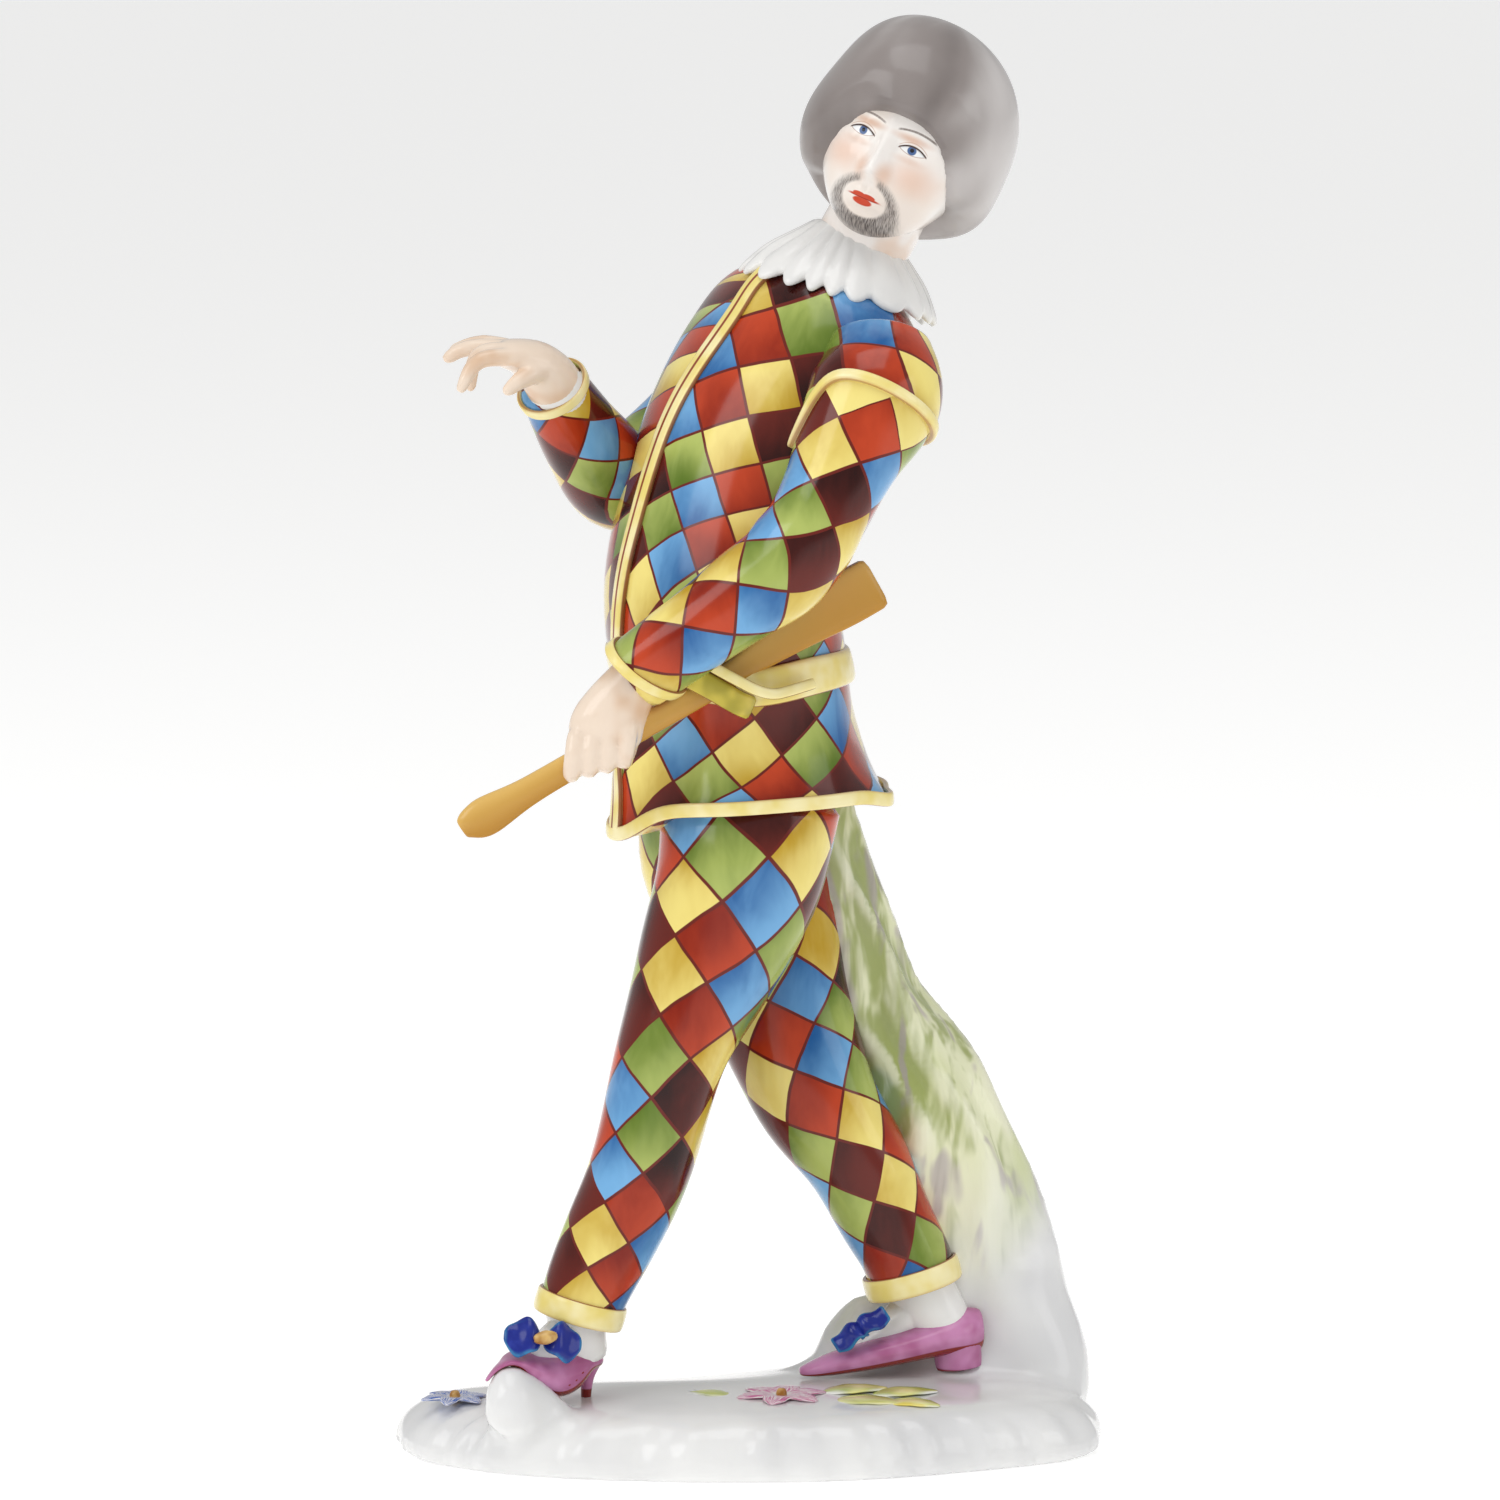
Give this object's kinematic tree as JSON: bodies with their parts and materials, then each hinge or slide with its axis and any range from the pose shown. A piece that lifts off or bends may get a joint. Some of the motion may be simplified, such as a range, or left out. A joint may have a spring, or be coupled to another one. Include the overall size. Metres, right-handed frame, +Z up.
{
  "type": "porcelain figurine",
  "caption": "Glazed porcelain figurine of a striding comedian in a lozenge costume and ruff, with a bat under the arm and a tree stump behind, on a mound base.",
  "frame": {"origin": "middle of the base's flat underside", "axes": "+Z up through the figure, +X to the figure's back along the base's length, -Y towards the viewer of the picture"},
  "size_m": [0.0888, 0.0495, 0.1772],
  "materials": {
    "painted_porcelain": "white glazed porcelain with overglaze enamel painting"
  },
  "bodies": {
    "root": {"porcelain_figurine": "painted_porcelain"}
  },
  "joints": []
}
